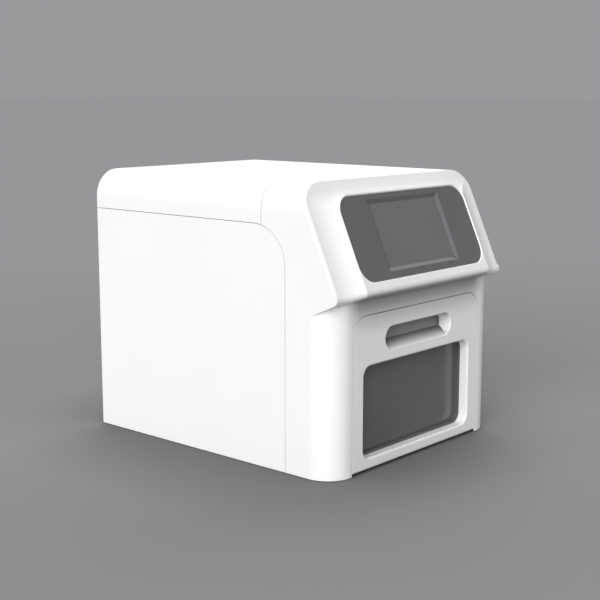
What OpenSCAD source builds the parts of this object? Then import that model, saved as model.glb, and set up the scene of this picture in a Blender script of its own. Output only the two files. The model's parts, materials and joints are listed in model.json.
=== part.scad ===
// Nucleic acid extractor: bench instrument with a sloped touch display head,
// a drop-down front door, a plate tray and a magnetic rod lift.
// Units are millimetres. X is across, -Y is the front, Z is up.
// The origin is the centre of the footprint on the bench.

/* [Case] */
// Width of the case
case_w = 390; // [370:1:430]
// Overall depth, from the chin tip to the rear edge
case_d = 490; // [480:1:540]
// Overall height, from the bench to the roof
case_h = 400; // [396:1:430]
// Wall of the moulded front fascia
fascia_wall = 3; // [2.5:0.1:3.5]
// Wall of the roof cover and side panels
cover_wall = 2.5; // [2:0.1:3]
// Radius of the two upright front corners
corner_r = 40; // [34:1:44]
// Radius of the two long roof edges
roof_r = 40; // [30:1:48]
// Width of the parting gap between covers
seam_gap = 0.8; // [0.4:0.1:1.2]
// Distance of the side panel top edge below the roof
side_seam_down = 58; // [50:1:70]
// Distance of the side panel front edge behind the lower front
side_seam_in = 82.7; // [76:0.5:90]
// Radius of the side panel upper front corner
side_seam_r = 56.5; // [40:0.5:60]
// Distance of the roof seam behind the lower front
roof_seam_in = 126; // [118:1:134]
// Height of the lower edge of the covers above the bench
skirt_z = 1; // [1:0.5:2]
// Height of the rubber feet
foot_h = 3; // [2:0.5:4]
// Radius of the rubber feet
foot_r = 10; // [8:0.5:12]
// Sheet thickness of the base plate
base_t = 2; // [1.5:0.1:2.5]
// Sheet thickness of the rear panel
rear_t = 2; // [1.5:0.1:2.5]
// Depth that the rear panel sits inside the covers
rear_inset = 2.4; // [2:0.1:4]

/* [Display head] */
// Lean of the display face back from upright, in degrees
head_slant = 24.3; // [22:0.1:27]
// Reach of the chin in front of the lower front
chin_reach = 20; // [16:0.5:22]
// Distance of the centre of the chin round below the roof
chin_down = 144; // [138:0.5:146]
// Radius of the chin round
chin_r = 8; // [7:0.5:9]
// Radius of the hollow under the chin
under_r = 10; // [9:0.5:14]
// Width of the hollow flare beside the display face
flare_w = 41; // [36:0.5:42]
// Height that the flare rises from its rim to the display face
flare_rise = 13; // [10:0.5:14]
// Width of the flat rim outside each flare
rim_w = 7; // [6:0.5:9]
// Round on the outer edge of the rim
rim_r = 4; // [2:0.5:5]
// Width of the face left beside the display panel
panel_side = 1.5; // [1.5:0.1:6]
// Height of the dark display panel along the slope
panel_h = 122; // [116:0.5:124]
// Corner radius of the display panel
panel_r = 25.5; // [20:0.5:28]
// Thickness of the display panel
panel_t = 3; // [2.8:0.1:3.4]
// Depth of the display panel below the face
panel_sink = 1.5; // [1:0.1:2]
// Distance of the panel lower edge above the chin centre
panel_low = 10; // [8:0.5:12]
// Width of the chamfer round the panel recess
panel_chamfer = 1.2; // [1:0.1:1.4]
// Width of the raised face above the panel
brow_w = 3; // [2.5:0.1:4]
// Radius of the hollow that ends each flare above the panel
brow_r = 40; // [30:1:50]
// Distance that this hollow runs past the raised face
brow_run = 10; // [8:0.5:12]
// Width of the ledge that carries the panel
panel_ledge = 4; // [3:0.5:5]
// Visible width of the touch screen
screen_w = 155.6; // [140:0.1:160]
// Visible height of the touch screen
screen_h = 92.6; // [84:0.1:94]
// Width of the sloped border round the screen
screen_border = 5.7; // [4:0.1:7]
// Distance of the screen centre above the panel centre
screen_up = 1.7; // [0:0.1:3]

/* [Door] */
// Width of the fascia beside the door
door_side = 44; // [42:0.5:50]
// Distance of the top edge of the door opening below the chin centre
door_down = 35; // [33:0.5:40]
// Radius of the door upper corners
door_r = 29; // [20:0.5:34]
// Thickness of the whole door
door_t = 25; // [24:0.5:26]
// Front wall of the door shell
door_wall = 3; // [2.5:0.1:3.5]
// Distance of the hinge axis behind the door face
hinge_in = 10; // [9:0.5:11]
// Height of the hinge axis above the bench
hinge_z = 13; // [12.5:0.1:14]
// Radius of the hinge pins
pin_r = 2.5; // [2:0.1:3]
// Width of the door beside the window opening
window_side = 24.6; // [22:0.1:34]
// Height of the window lower edge above the bench
window_z0 = 19.5; // [19:0.1:24]
// Distance of the window upper edge below the door top
window_down = 71; // [69:0.5:80]
// Corner radius of the window opening
window_r = 15; // [10:0.5:18]
// Depth of the window frame in front of the glass
window_in = 20; // [18:0.5:20.5]
// Thickness of the smoked window
window_t = 2; // [1.5:0.1:2.2]
// Width of the handle pocket
pocket_w = 155.6; // [140:0.2:170]
// Height of the handle pocket
pocket_h = 31; // [28:0.5:33]
// Distance of the handle pocket centre below the door top
pocket_down = 39; // [37:0.5:41]
// Depth of the handle pocket
pocket_d = 20; // [16:0.5:20.5]

/* [Plate tray] */
// Length of a deep-well plate
plate_l = 127.8; // [127.6:0.1:128]
// Width of a deep-well plate
plate_w = 85.5; // [85.3:0.1:85.7]
// Pitch of the wells
well_pitch = 9; // [9:0.1:9]
// Distance of each plate centre from the middle
nest_x = 56; // [54:0.5:60]
// Travel of the tray, five columns of wells
tray_travel = 45; // [36:1:45]
// Height of the tray top above the bench
tray_z = 22; // [21.5:0.1:24]

/* [Rod lift] */
// Distance of the underside of the lift head bridge below the roof
bridge_down = 106; // [104:0.5:108]
// Height of the comb shelf above the bench when the head is up
shelf_z = 150; // [146:1:156]
// Travel of the lift head
head_travel = 55; // [40:1:56]
// Travel of the rod plate in the lift head
rod_travel = 58; // [40:1:58]
// Radius of the magnet rods
rod_r = 2.4; // [2:0.1:2.6]
// Length of the magnet rods below their plate
rod_l = 62; // [60:0.5:62]
// Radius of the lift lead screw
lift_screw_r = 4; // [3.5:0.1:4.5]
// Radius of the rod and tray lead screws
small_screw_r = 3; // [2.5:0.1:3.5]

/* [Hidden] */
$fn = 64;
// Running clearance of a pin, screw or shaft in its bore
fit = 0.05;
// Clearance between neighbouring parts that don't move in each other
gap = 0.3;
// Overshoot of a cut past the face it opens
eps = 1;

half_w = case_w / 2;
front_y = -case_d / 2 + chin_reach;
rear_y = case_d / 2;
half_gap = seam_gap / 2;
body_z = foot_h;
chin_z = case_h - chin_down;
side_seam_z = case_h - side_seam_down;
door_w = case_w - 2 * door_side;
door_top = chin_z - door_down;
window_w = door_w - 2 * window_side;
window_z1 = door_top - window_down;
pocket_z = door_top - pocket_down;
floor_z = foot_h + base_t;

chin_y = front_y - chin_reach + chin_r;
flare_x = half_w - rim_w;
flare_r = (flare_w * flare_w + flare_rise * flare_rise) / (2 * flare_rise);
flare_n = chin_r - flare_rise + flare_r;
nose_ring_r = flare_r + chin_r;
slope_l = (case_h - chin_z) / cos(head_slant) + 40;
face_half = flare_x - flare_w;
panel_w = 2 * (face_half - panel_side);
under_dy = under_r - chin_reach + chin_r;
under_z = chin_z - sqrt(pow(under_r + chin_r - 0.05, 2) - under_dy * under_dy);
side_seam_y = front_y + side_seam_in;
roof_seam_y = front_y + roof_seam_in;

panel_s = panel_low + panel_h / 2;
brow_s = panel_low + panel_h + brow_w;
brow_corner = panel_r + panel_side + 1;
hollow_s = brow_s + brow_run;
band_n = chin_r - flare_rise + 0.2;
hollow_n = band_n - 0.1 + brow_r;
hollow_reach = sqrt(brow_r * brow_r - pow(hollow_n - chin_r, 2));
screen_s = panel_s + screen_up;
panel_n = chin_r - panel_sink;
panel_back_n = panel_n - panel_t;
shelf_back_n = panel_back_n - 3;
glass_t = 1.8;
lcd_t = 8;
glass_w = screen_w + 2 * screen_border;
glass_h = screen_h + 2 * screen_border;

hinge_y = front_y + hinge_in;
door_back_y = front_y + door_t;
door_low = hinge_z - hinge_in + 1;
door_half = door_w / 2 - half_gap;
door_high = door_top - half_gap;
door_edge_r = 3;
liner_t = 2.5;
seal_t = 1.2;
frame_y = door_back_y + seal_t + gap;
frame_t = 1.5;
glass_y = front_y + window_in;
window_soft = 2;
window_h = window_z1 - window_z0;
window_zc = (window_z0 + window_z1) / 2;
boss_w = 13;
block_x = door_w / 2 + 1.3;
block_w = 14.5;
block_l = 12.5;

chamber_half = door_w / 2 - 1;
chamber_t = 1.5;
chamber_y = frame_y + frame_t;
chamber_top = door_top + 11;
hood_l = 36;

back_y = 0;
back_t = 4;
nest_gap = 0.4;
nest_wall = 2;
nest_lip = 8;
nest_y = back_y - 17 - plate_l / 2;
heater_h = 16;
tray_plate_t = 3;
tray_half = nest_x + plate_w / 2 + nest_gap + nest_wall;
tray_back = nest_y + plate_l / 2 + nest_gap + nest_wall + 3;
tray_front = nest_y - plate_l / 2 - nest_gap - nest_wall - 3;
rail_x = 80;
rail_w = 10;
rail_h = 8;
runner_w = 20;
runner_l = 34;
tray_screw_z = floor_z + 22;
motor_w = 42.3;
motor_l = 34;
boss_r = 11;

row_y = [nest_y - 5.5 * well_pitch, nest_y + 0.5 * well_pitch];
shelf_t = 6;
head_half = 110;
head_front = row_y[0] - 18;
head_back = back_y - 19;
bridge_z = case_h - bridge_down;
bridge_front = row_y[0] + 20;
head_side = 6;
head_side_l = 40;
lift_rail_x = 90;
lift_rail_w = 12;
lift_rail_t = 8;
lift_runner_w = 28;
lift_runner_h = 50;
lift_screw_y = back_y - 32;
rod_screw_y = back_y - 66;
shelf_top = shelf_z + shelf_t;
motor_shelf_z = bridge_z + shelf_t + motor_l + 12;
rod_plate_z = shelf_top + rod_l + 4;
rod_plate_t = 6;
guide_x = 100;
guide_y = (row_y[0] + row_y[1]) / 2;
guide_r = 4;

fan_x = 95;
fan_z = 300;
fan_w = 80;
fan_l = 25;
fan_hole_r = 38;
inlet_x = -130;
inlet_z = 70;
inlet_w = 31;
inlet_h = 80;
port_x = -60;
port_z = 50;
psu_x = -100;
psu_w = 100;
psu_l = 160;
psu_h = 38;
panel_in_y = rear_y - rear_inset - rear_t;
panel_out_y = rear_y - rear_inset;
// The mains inlet reaches this far in behind its flange
inlet_l = 34;
psu_y1 = panel_out_y - inlet_l - 8.6;

// ---------- shared shapes ----------

// Rounded rectangle, centred, as a flat outline
module round_rect(w, h, r) {
    square([w, h - 2 * r], center = true);
    square([w - 2 * r, h], center = true);
    for (x = [-1, 1], y = [-1, 1])
        translate([x * (w / 2 - r), y * (h / 2 - r)]) circle(r);
}

// Rounded plate, centred, from z = 0 up to t
module round_plate(w, h, r, t) {
    linear_extrude(t) round_rect(w, h, r);
}

// Rounded opening whose mouth flares out by c over the depth d, mouth at z = 0
module flared_mouth(w, h, r, d, c) {
    trapezoid_w = [[-w / 2, -d], [w / 2, -d], [w / 2 + c, 0], [-w / 2 - c, 0]];
    trapezoid_h = [[-h / 2, -d], [h / 2, -d], [h / 2 + c, 0], [-h / 2 - c, 0]];
    translate([0, h / 2 - r, 0]) rotate([90, 0, 0])
        linear_extrude(h - 2 * r) polygon(trapezoid_w);
    translate([-w / 2 + r, 0, 0]) rotate([90, 0, 90])
        linear_extrude(w - 2 * r) polygon(trapezoid_h);
    for (x = [-1, 1], y = [-1, 1])
        translate([x * (w / 2 - r), y * (h / 2 - r), -d]) cylinder(h = d, r1 = r, r2 = r + c);
}

// Four-sided hopper with sharp corners, mouth at z = 0
module hopper(w, h, d, c) {
    intersection() {
        translate([0, h, 0]) rotate([90, 0, 0]) linear_extrude(2 * h)
            polygon([[-w / 2, -d], [w / 2, -d], [w / 2 + c, 0], [-w / 2 - c, 0]]);
        translate([-w, 0, 0]) rotate([90, 0, 90]) linear_extrude(2 * w)
            polygon([[-h / 2, -d], [h / 2, -d], [h / 2 + c, 0], [-h / 2 - c, 0]]);
    }
}

// Puts children on an upright front plane: their x stays, their y points up, their z to the front
module upright(y) {
    translate([0, y, 0]) rotate([90, 0, 0]) children();
}

// Puts children on the display slope: y runs up the slope from the chin centre, z points out
module slope() {
    translate([0, chin_y, chin_z]) rotate([90 - head_slant, 0, 0]) children();
}

module mirrored_x() {
    children();
    mirror([1, 0, 0]) children();
}

// Puts children drawn on the right on that side, or on the left where side is -1
module on_side(side) {
    mirror([side < 0 ? 1 : 0, 0, 0]) children();
}

// Cube from corner a to corner b
module span(a, b) {
    translate(a) cube(b - a);
}

// ---------- case forms ----------

// Front outline of the case with round roof edges, drawn inwards by t
module front_outline(t, y0, y1) {
    r = roof_r - t;
    w = half_w - t;
    translate([0, y1, 0]) rotate([90, 0, 0]) linear_extrude(y1 - y0) {
        translate([-w, skirt_z]) square([2 * w, case_h - t - r - skirt_z]);
        translate([-w + r, skirt_z]) square([2 * w - 2 * r, case_h - t - skirt_z]);
        for (x = [-1, 1]) translate([x * (w - r), case_h - t - r]) circle(r);
    }
}

// Footprint of the lower front with round corners, drawn inwards by t
module plan_outline(t, y1, z0, z1) {
    r = corner_r - t;
    w = half_w - t;
    translate([0, 0, z0]) linear_extrude(z1 - z0) {
        translate([-w, front_y + corner_r]) square([2 * w, y1 - front_y - corner_r]);
        translate([-w + r, front_y + t]) square([2 * w - 2 * r, y1 - front_y - t]);
        for (x = [-1, 1]) translate([x * (w - r), front_y + corner_r]) circle(r);
    }
}

// Display face with its hollow flares: s0 to s1 up the slope, cut back by n_in from the face
module flared_prism(s0, s1, n_in) {
    deep = case_d;
    w = half_w;
    difference() {
        translate([-w, s0, -deep]) cube([2 * w, s1 - s0, deep + chin_r - n_in]);
        mirrored_x() {
            translate([flare_x, s0 - eps, flare_n]) rotate([-90, 0, 0])
                cylinder(r = flare_r + n_in, h = s1 - s0 + 2 * eps);
            translate([flare_x, s0 - eps, flare_n - flare_r - n_in])
                cube([rim_w + eps, s1 - s0 + 2 * eps, 2 * flare_r]);
        }
    }
}

// Rounded lower edge of the head, rolled along the face, the flares and the rims
module chin_roll() {
    lap = 0.4;
    face_x = flare_x - flare_w + lap;
    low = -flare_rise - chin_r - eps;
    translate([-face_x, 0, 0]) rotate([0, 90, 0]) cylinder(r = chin_r, h = 2 * face_x);
    mirrored_x() {
        intersection() {
            translate([flare_x, 0, flare_n]) rotate([-90, 0, 0])
                rotate_extrude($fn = 128) translate([nose_ring_r, 0]) circle(chin_r);
            span([face_x, -chin_r - eps, low], [flare_x, chin_r + eps, chin_r + eps]);
        }
        translate([flare_x, 0, -flare_rise]) rotate([0, 90, 0]) cylinder(r = chin_r, h = rim_w);
    }
}

// Whole display head
module head_form() {
    intersection() {
        front_outline(0, -case_d, roof_seam_y);
        slope() union() {
            difference() {
                flared_prism(0, slope_l, 0);
                brow_cut();
                rim_rounds();
            }
            flared_prism(-chin_r, 0, chin_r);
            chin_roll();
        }
    }
}

// Cut above the raised face: a flat band up to the roof, and the hollow that ends the flares
module brow_cut() {
    difference() {
        union() {
            translate([-case_w, hollow_s, hollow_n]) rotate([0, 90, 0]) cylinder(r = brow_r, h = 2 * case_w);
            span([-case_w, hollow_s - eps, band_n], [case_w, slope_l + eps, chin_r + eps]);
        }
        translate([0, 0, -brow_r]) linear_extrude(3 * brow_r) {
            square([2 * face_half, 2 * (brow_s - brow_corner)], center = true);
            square([2 * (face_half - brow_corner), 2 * brow_s], center = true);
            for (x = [-1, 1]) translate([x * (face_half - brow_corner), brow_s - brow_corner]) circle(brow_corner);
        }
    }
}

// Cuts that round the outer edge of both rims
module rim_rounds() {
    n = chin_r - flare_rise;
    mirrored_x() difference() {
        span([half_w - rim_r, -eps, n - rim_r], [half_w + eps, slope_l + eps, n + eps]);
        translate([half_w - rim_r, -2 * eps, n - rim_r]) rotate([-90, 0, 0])
            cylinder(r = rim_r, h = slope_l + 4 * eps);
    }
}

// Section of the sweep under the chin: x is the reach past the lower front, y the height
module under_section() {
    reach = under_r - under_dy * under_r / (under_r + chin_r);
    difference() {
        translate([-corner_r / 2, 0]) square([reach + corner_r / 2, chin_z - under_z]);
        translate([under_r, 0]) circle(under_r);
    }
}

// Hollow sweep that carries the lower front and its corners out to the chin
module under_sweep() {
    run = half_w - corner_r;
    intersection() {
        union() {
            translate([-run, front_y, under_z]) mirror([0, 1, 0]) rotate([90, 0, 90])
                linear_extrude(2 * run) under_section();
            for (x = [-1, 1]) translate([x * run, front_y + corner_r, under_z])
                rotate_extrude($fn = 96) translate([corner_r, 0]) under_section();
        }
        front_outline(0, -case_d, roof_seam_y);
        slope() flared_prism(-80, 0, chin_r);
    }
}

// Outer form of the fascia
module fascia_form() {
    plan_outline(0, roof_seam_y, skirt_z, chin_z);
    head_form();
    under_sweep();
}

// Hollow of the fascia, which leaves the chin thick
module fascia_hollow() {
    plan_outline(fascia_wall, roof_seam_y, 0, chin_z);
    intersection() {
        front_outline(fascia_wall, -case_d, roof_seam_y);
        slope() union() {
            flared_prism(fascia_wall, hollow_s - hollow_reach - fascia_wall, fascia_wall);
            span([-case_w, fascia_wall, -case_d], [case_w, slope_l, band_n - fascia_wall]);
        }
    }
}

// Side view of the side panel, grown by g, as a prism across the case
module side_zone(g) {
    r = side_seam_r + g;
    y0 = side_seam_y - g;
    z1 = side_seam_z + g;
    translate([-half_w - eps, 0, 0]) rotate([90, 0, 90]) linear_extrude(case_w + 2 * eps) {
        translate([y0, 0]) square([case_d, z1 - r]);
        translate([y0 + r, 0]) square([case_d, z1]);
        translate([y0 + r, z1 - r]) circle(r);
    }
}

// Outline of the door opening, as a plate of thickness t with its front at z = 0 of upright()
module door_outline(grow, t, low) {
    w = door_w / 2 + grow;
    h = door_top + grow;
    r = door_r + grow;
    translate([0, 0, -t]) linear_extrude(t) {
        translate([-w, low]) square([2 * w, h - r - low]);
        translate([-w + r, low]) square([2 * w - 2 * r, h - low]);
        for (x = [-1, 1]) translate([x * (w - r), h - r]) circle(r);
    }
}

// ---------- case ----------

module front_fascia() {
    jamb_t = 2.5;
    jamb_l = 11;
    lead = 0.5;
    chamfer = panel_chamfer * (panel_sink + lead) / panel_sink;
    color("white") difference() {
        union() {
            difference() {
                fascia_form();
                fascia_hollow();
            }
            intersection() {
                upright(front_y) door_outline(half_gap + jamb_t, jamb_l, hinge_z + 12);
                plan_outline(1, roof_seam_y, body_z, chin_z);
            }
            intersection() {
                slope() translate([0, panel_s, shelf_back_n])
                    round_plate(panel_w + 2 * panel_side, panel_h + 2 * brow_w - 1, panel_r + panel_side,
                                chin_r - shelf_back_n - eps);
                slope() flared_prism(0, slope_l, 1);
            }
        }
        side_zone(half_gap);
        span([-case_w, roof_seam_y - half_gap, 0], [case_w, rear_y, case_h + eps]);
        upright(front_y - eps) door_outline(half_gap, jamb_l + 3 * eps, 0);
        slope() {
            translate([0, panel_s, panel_back_n])
                round_plate(panel_w + gap, panel_h + gap, panel_r + gap / 2, panel_t + panel_sink + eps);
            translate([0, panel_s, chin_r + lead])
                flared_mouth(panel_w + gap, panel_h + gap, panel_r, panel_sink + lead, chamfer);
            translate([0, panel_s, shelf_back_n - 20])
                round_plate(panel_w - 2 * panel_ledge, panel_h - 2 * panel_ledge,
                            panel_r - panel_ledge, 20 + chin_r - shelf_back_n);
        }
    }
}

module top_cover() {
    color("white") difference() {
        front_outline(0, roof_seam_y + half_gap, rear_y);
        front_outline(cover_wall, roof_seam_y, rear_y + eps);
        side_zone(half_gap);
    }
}

module side_panel(side) {
    x0 = half_w - cover_wall;
    color("white") intersection() {
        on_side(side) span([x0, side_seam_y, skirt_z], [half_w, rear_y, side_seam_z]);
        side_zone(-half_gap);
    }
}

module side_panel_left() {
    side_panel(-1);
}

module side_panel_right() {
    side_panel(1);
}

module rear_panel() {
    w = half_w - cover_wall - gap;
    louvre_l = 90;
    color("lightgray") difference() {
        intersection() {
            front_outline(cover_wall + gap, panel_in_y, panel_out_y);
            span([-w, panel_in_y, floor_z], [w, panel_out_y, case_h]);
        }
        // fan opening
        translate([fan_x, panel_in_y - eps, fan_z]) rotate([-90, 0, 0])
            cylinder(r = fan_hole_r, h = rear_t + 2 * eps);
        // louvres
        for (x = [-1, 0], z = [0:6])
            translate([fan_x - 45 + x * 130, panel_in_y - eps, 120 + 12 * z])
                cube([louvre_l, rear_t + 2 * eps, 5]);
        // inlet and ports
        translate([inlet_x, panel_out_y, inlet_z]) span(
            [-inlet_w / 2 + 2 - gap, -rear_t - eps, -inlet_h / 2 + 2 - gap],
            [inlet_w / 2 - 2 + gap, eps, inlet_h / 2 - 2 + gap]);
        translate([port_x, panel_out_y, port_z])
            span([-25 - gap, -rear_t - eps, -9 - gap], [25 + gap, eps, 9 + gap]);
    }
}

module base_plate() {
    w = half_w - cover_wall - gap;
    lug_x = block_x - gap;
    color("silver") difference() {
        union() {
            span([-w, side_seam_y + half_gap, body_z], [w, panel_out_y, floor_z]);
            intersection() {
                plan_outline(fascia_wall + gap, side_seam_y + 2, body_z, floor_z);
                union() {
                    span([-half_w, chamber_y, body_z], [half_w, side_seam_y + 2, floor_z]);
                    mirrored_x() span([lug_x, front_y, body_z], [half_w, chamber_y + eps, floor_z]);
                }
            }
        }
        for (x = [-6:6]) translate([x * 16 - 3, 120, body_z - eps]) cube([6, 60, base_t + 2 * eps]);
    }
}

foot_x = half_w - 28;
foot_y = [front_y + corner_r + 6, rear_y - 32];

module rubber_feet() {
    color("dimgray") for (x = [-1, 1], y = foot_y) translate([x * foot_x, y, 0]) {
        cylinder(r = foot_r, h = foot_h);
    }
}

module case_screws() {
    x = half_w - 12;
    pitch = (case_h - roof_r - 45) / 3;
    color("gray") for (sx = [-1, 1], i = [0:3])
        translate([sx * x, panel_out_y, 20 + i * pitch]) rotate([-90, 0, 0]) cylinder(r = 3.2, h = 1.6);
}

// ---------- display ----------

module display_panel() {
    color("dimgray") slope() difference() {
        translate([0, panel_s, panel_back_n]) round_plate(panel_w, panel_h, panel_r, panel_t);
        translate([0, screen_s, panel_n]) hopper(screen_w, screen_h, panel_t, screen_border);
        translate([0, screen_s, panel_back_n - eps / 2])
            cube([screen_w, screen_h, 2 * eps], center = true);
    }
}

module touch_screen() {
    color("gray") slope() translate([0, screen_s, panel_back_n - glass_t])
        round_plate(glass_w, glass_h, 2, glass_t);
}

module lcd_module() {
    color("silver") slope() translate([0, screen_s, panel_back_n - glass_t - lcd_t])
        round_plate(glass_w - 2, glass_h - 2, 1, lcd_t);
}

module display_bracket() {
    bracket_t = 1.5;
    back = panel_back_n - glass_t - lcd_t;
    post_x = panel_w / 2 - panel_ledge / 2;
    color("silver") slope() {
        translate([0, panel_s, back - bracket_t]) round_plate(panel_w + 4, 70, 4, bracket_t);
        for (x = [-1, 1], y = [-1, 1])
            translate([x * (post_x + 1), panel_s + y * 26, back]) cylinder(r = 2.8, h = shelf_back_n - back);
    }
}

// ---------- door ----------

// Cavity of the handle pocket: sloping floor and undercut roof
module pocket_cavity() {
    r = pocket_h / 2;
    upright(front_y) translate([0, pocket_z, -pocket_d]) intersection() {
        round_plate(pocket_w, pocket_h, r - 0.01, pocket_d + eps);
        translate([-pocket_w, 0, 0]) rotate([90, 0, 90]) linear_extrude(2 * pocket_w)
            polygon([[-r * 0.35, 0], [r, 0], [r, pocket_d + eps], [-r, pocket_d + eps], [-r, pocket_d - 2]]);
    }
    upright(front_y) translate([0, pocket_z, 0]) flared_mouth(pocket_w, pocket_h, r - 0.01, 2, 2);
}

// Rounded block or hole round the window, from y0 back to y1, grown outwards
module window_prism(grow, y0, y1) {
    upright(y1) translate([0, window_zc, 0])
        round_plate(window_w + 2 * grow, window_h + 2 * grow, window_r + grow, y1 - y0);
}

module door_shell() {
    shell_back = door_back_y - liner_t;
    shell_t = shell_back - front_y;
    rim_t = 2.5;
    color("white") difference() {
        union() {
            difference() {
                upright(front_y) door_outline(-half_gap, shell_t, door_low);
                upright(front_y + door_wall) door_outline(-half_gap - rim_t, door_t, door_low + rim_t);
            }
            intersection() {
                upright(front_y) door_outline(-half_gap, shell_t, door_low);
                union() {
                    window_prism(rim_t, front_y, shell_back);
                    upright(shell_back) translate([0, pocket_z, 0])
                        round_plate(pocket_w + 6, pocket_h + 10, pocket_h / 2 + 2, shell_t);
                    mirrored_x() span([door_half - boss_w, front_y, door_low],
                                      [door_half, hinge_y + 7.5, hinge_z + 7.5]);
                }
            }
        }
        // window opening with a soft front edge and a step for the gasket
        window_prism(0, front_y - eps, shell_back + eps);
        upright(front_y) translate([0, window_zc, 0])
            flared_mouth(window_w, window_h, window_r, window_soft, window_soft);
        pocket_cavity();
        // hinge pin bores
        mirrored_x() translate([door_half - boss_w + 2, hinge_y, hinge_z]) rotate([0, 90, 0])
            cylinder(r = pin_r + fit, h = boss_w);
        door_foot_round();
    }
}

// Cut that rounds the lower front edge of the door, which swings close above the bench
module door_foot_round() {
    r = door_edge_r;
    difference() {
        span([-case_w, front_y - eps, door_low - eps], [case_w, front_y + r, door_low + r]);
        translate([-case_w, front_y + r, door_low + r]) rotate([0, 90, 0]) cylinder(r = r, h = 2 * case_w);
    }
}

module door_liner() {
    seat = magnet_w / 2 + gap / 2;
    color("whitesmoke") difference() {
        upright(door_back_y - liner_t) door_outline(-half_gap - gap, liner_t, door_low + 4);
        window_prism(-2, door_back_y - liner_t - eps, door_back_y + eps);
        for (x = [-1, 1]) translate([x * magnet_x, door_back_y, magnet_z])
            span([-seat, -liner_t - eps, -seat], [seat, eps, seat]);
    }
}

magnet_w = 10;
magnet_x = door_w / 2 - 30;
magnet_z = door_top - 16;

module door_magnets() {
    color("gray") for (x = [-1, 1]) translate([x * magnet_x, door_back_y, magnet_z])
        span([-magnet_w / 2, -liner_t, -magnet_w / 2], [magnet_w / 2, 0, magnet_w / 2]);
}

module catch_plates() {
    color("silver") for (x = [-1, 1]) translate([x * magnet_x, frame_y, magnet_z])
        span([-magnet_w / 2 - 2, -seal_t, -magnet_w / 2 - 2], [magnet_w / 2 + 2, 0, magnet_w / 2 + 2]);
}

// Stepped dark band between the window wall and the glass
module window_gasket() {
    color("black") difference() {
        window_prism(-gap / 2, glass_y - gasket_l, door_back_y - liner_t);
        window_prism(-4, glass_y - gasket_l - eps, glass_y + eps);
        window_prism(-1.5, glass_y, door_back_y - liner_t + eps);
    }
}

gasket_l = 6;

module door_window() {
    color([0.2, 0.2, 0.22, 0.5]) window_prism(-1.5 - gap / 2, glass_y, glass_y + window_t);
}

// Seal on three sides of the liner, open at the foot of the door
module door_seal() {
    color("dimgray") upright(door_back_y) difference() {
        door_outline(-3, seal_t, seal_low);
        translate([0, 0, eps]) door_outline(-7, seal_t + 2 * eps, seal_low - eps);
    }
}

seal_low = 36;

module hinge_blocks() {
    color("silver") mirrored_x() difference() {
        span([block_x, hinge_y - 4.5, floor_z], [block_x + block_w, hinge_y + 8, hinge_z + 8]);
        translate([block_x - eps, hinge_y, hinge_z]) rotate([0, 90, 0])
            cylinder(r = pin_r + fit, h = block_w + 2 * eps);
    }
}

module hinge_pins() {
    x0 = door_half - boss_w + 2 + gap;
    color("silver") mirrored_x() translate([x0, hinge_y, hinge_z]) rotate([0, 90, 0])
        cylinder(r = pin_r, h = block_x + block_w - x0);
}

// ---------- chamber ----------

module chamber_front() {
    color("silver") difference() {
        upright(frame_y) door_outline(0.5, frame_t, seal_low - 2);
        span([-chamber_half + 16, frame_y - eps, 0], [chamber_half - 16, chamber_y + eps, door_top - 23]);
    }
}

module chamber_wall(side) {
    color("silver") on_side(side)
        span([chamber_half, chamber_y, floor_z], [chamber_half + chamber_t, back_y, chamber_top]);
}

module chamber_wall_left() {
    chamber_wall(-1);
}

module chamber_wall_right() {
    chamber_wall(1);
}

module chamber_hood() {
    w = chamber_half + chamber_t;
    color("silver") span([-w, chamber_y, chamber_top], [w, chamber_y + hood_l, chamber_top + chamber_t]);
}

lamp_y = chamber_y + 17;
lamp_z = chamber_top - 20;
lamp_half = 106;
lamp_r = 8;

module uv_lamp() {
    color("white") translate([0, lamp_y, lamp_z]) rotate([0, 90, 0]) {
        translate([0, 0, -lamp_half + 6]) cylinder(r = lamp_r, h = 2 * lamp_half - 12);
        for (m = [0, 1]) mirror([0, 0, m]) {
            translate([0, 0, lamp_half - 7]) cylinder(r = lamp_r + 0.3, h = 7);
            for (x = [-1, 1]) translate([x * 2.5, 0, lamp_half]) cylinder(r = 1.2, h = 6);
        }
    }
}

module lamp_holders() {
    color("whitesmoke") mirrored_x() difference() {
        span([lamp_half + gap, lamp_y - 9, lamp_z - 9], [lamp_half + 9, lamp_y + 9, chamber_top]);
        for (x = [-1, 1]) translate([lamp_half, lamp_y, lamp_z + x * 2.5]) rotate([0, 90, 0])
            cylinder(r = 1.2 + fit, h = 12);
    }
}

module light_strip() {
    color("ivory") span([-100, chamber_y + hood_l - 8, chamber_top - 4],
                        [100, chamber_y + hood_l, chamber_top]);
}

// ---------- plate tray ----------

module tray_rails() {
    y0 = tray_front - tray_travel + 7;
    color("silver") for (x = [-1, 1]) difference() {
        span([x * rail_x - rail_w / 2, y0, floor_z], [x * rail_x + rail_w / 2, back_y - 4, floor_z + rail_h]);
        for (s = [-1, 1]) translate([x * rail_x + s * rail_w / 2, y0 - eps, floor_z + 5])
            rotate([-90, 0, 0]) cylinder(r = 1.2, h = back_y - y0);
    }
}

module tray_runners() {
    top = tray_z - tray_plate_t;
    color("gray") for (x = [-1, 1], y = [tray_front + 8, tray_back - 8 - runner_l])
        translate([x * rail_x, y, 0]) difference() {
            span([-runner_w / 2, 0, floor_z + 2.5], [runner_w / 2, runner_l, top]);
            span([-rail_w / 2 - gap, -eps, 0], [rail_w / 2 + gap, runner_l + eps, floor_z + rail_h + gap]);
        }
}

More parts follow.
